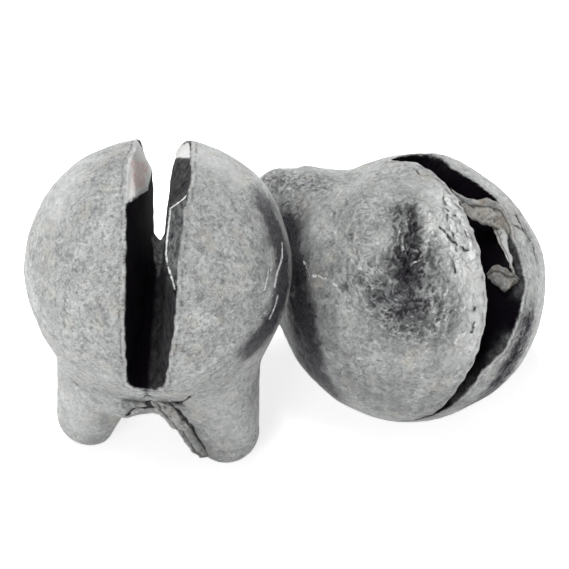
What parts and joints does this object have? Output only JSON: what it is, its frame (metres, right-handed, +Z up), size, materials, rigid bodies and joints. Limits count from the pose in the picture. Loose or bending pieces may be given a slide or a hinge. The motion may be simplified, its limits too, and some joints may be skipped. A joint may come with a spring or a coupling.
{
  "type": "removable split shot fishing sinker",
  "caption": "Cast lead split shots, one open and one pinched: a ball with a slot for the line, opened by ears that bend the halves on a lead web.",
  "frame": {"origin": "centre of the footprint of the pair, on the surface that it stands on", "axes": "+X from the front shot to the rear shot, +Y away from the viewer, 2.5 degrees off the front shot's line channel, +Z up, out of the front shot's mouth"},
  "size_m": [0.0198, 0.0144, 0.0133],
  "materials": {
    "front_lead": "dull cast lead, finely mottled, soft sheen",
    "rear_lead": "dull cast lead, crumpled and cracked by pliers, burnished patches",
    "web_lead": "creased and cracked lead where the halves bend",
    "cut_lead": "bright torn lead"
  },
  "bodies": {
    "front_right_half": {"front_right_jaw": "front_lead", "front_right_ear": "front_lead", "front_web": "web_lead", "front_burr": "cut_lead"},
    "front_left_half": {"front_left_jaw": "front_lead", "front_left_ear": "front_lead"},
    "rear_near_half": {"rear_near_jaw": "rear_lead", "rear_near_ear": "rear_lead", "rear_web": "web_lead", "rear_torn_lip": "cut_lead"},
    "rear_far_half": {"rear_far_jaw": "rear_lead", "rear_far_ear": "rear_lead"}
  },
  "joints": [
    {"name": "front_web_bend", "type": "hinge", "parent": "front_right_half", "child": "front_left_half", "pos_m": [-0.00506, -0.00222, 0.0047], "axis": [-0.0436, -0.999, 0], "range_deg": [-10, 15]},
    {"name": "rear_shot_slide", "type": "slide", "parent": "front_right_half", "child": "rear_near_half", "axis": [1, 0, 0], "range_m": [0, 0.02]},
    {"name": "rear_web_bend", "type": "hinge", "parent": "rear_near_half", "child": "rear_far_half", "pos_m": [0.00182, 0.00214, 0.0049], "axis": [0.3151, 0.4883, 0.8138], "range_deg": [0, 20]}
  ]
}
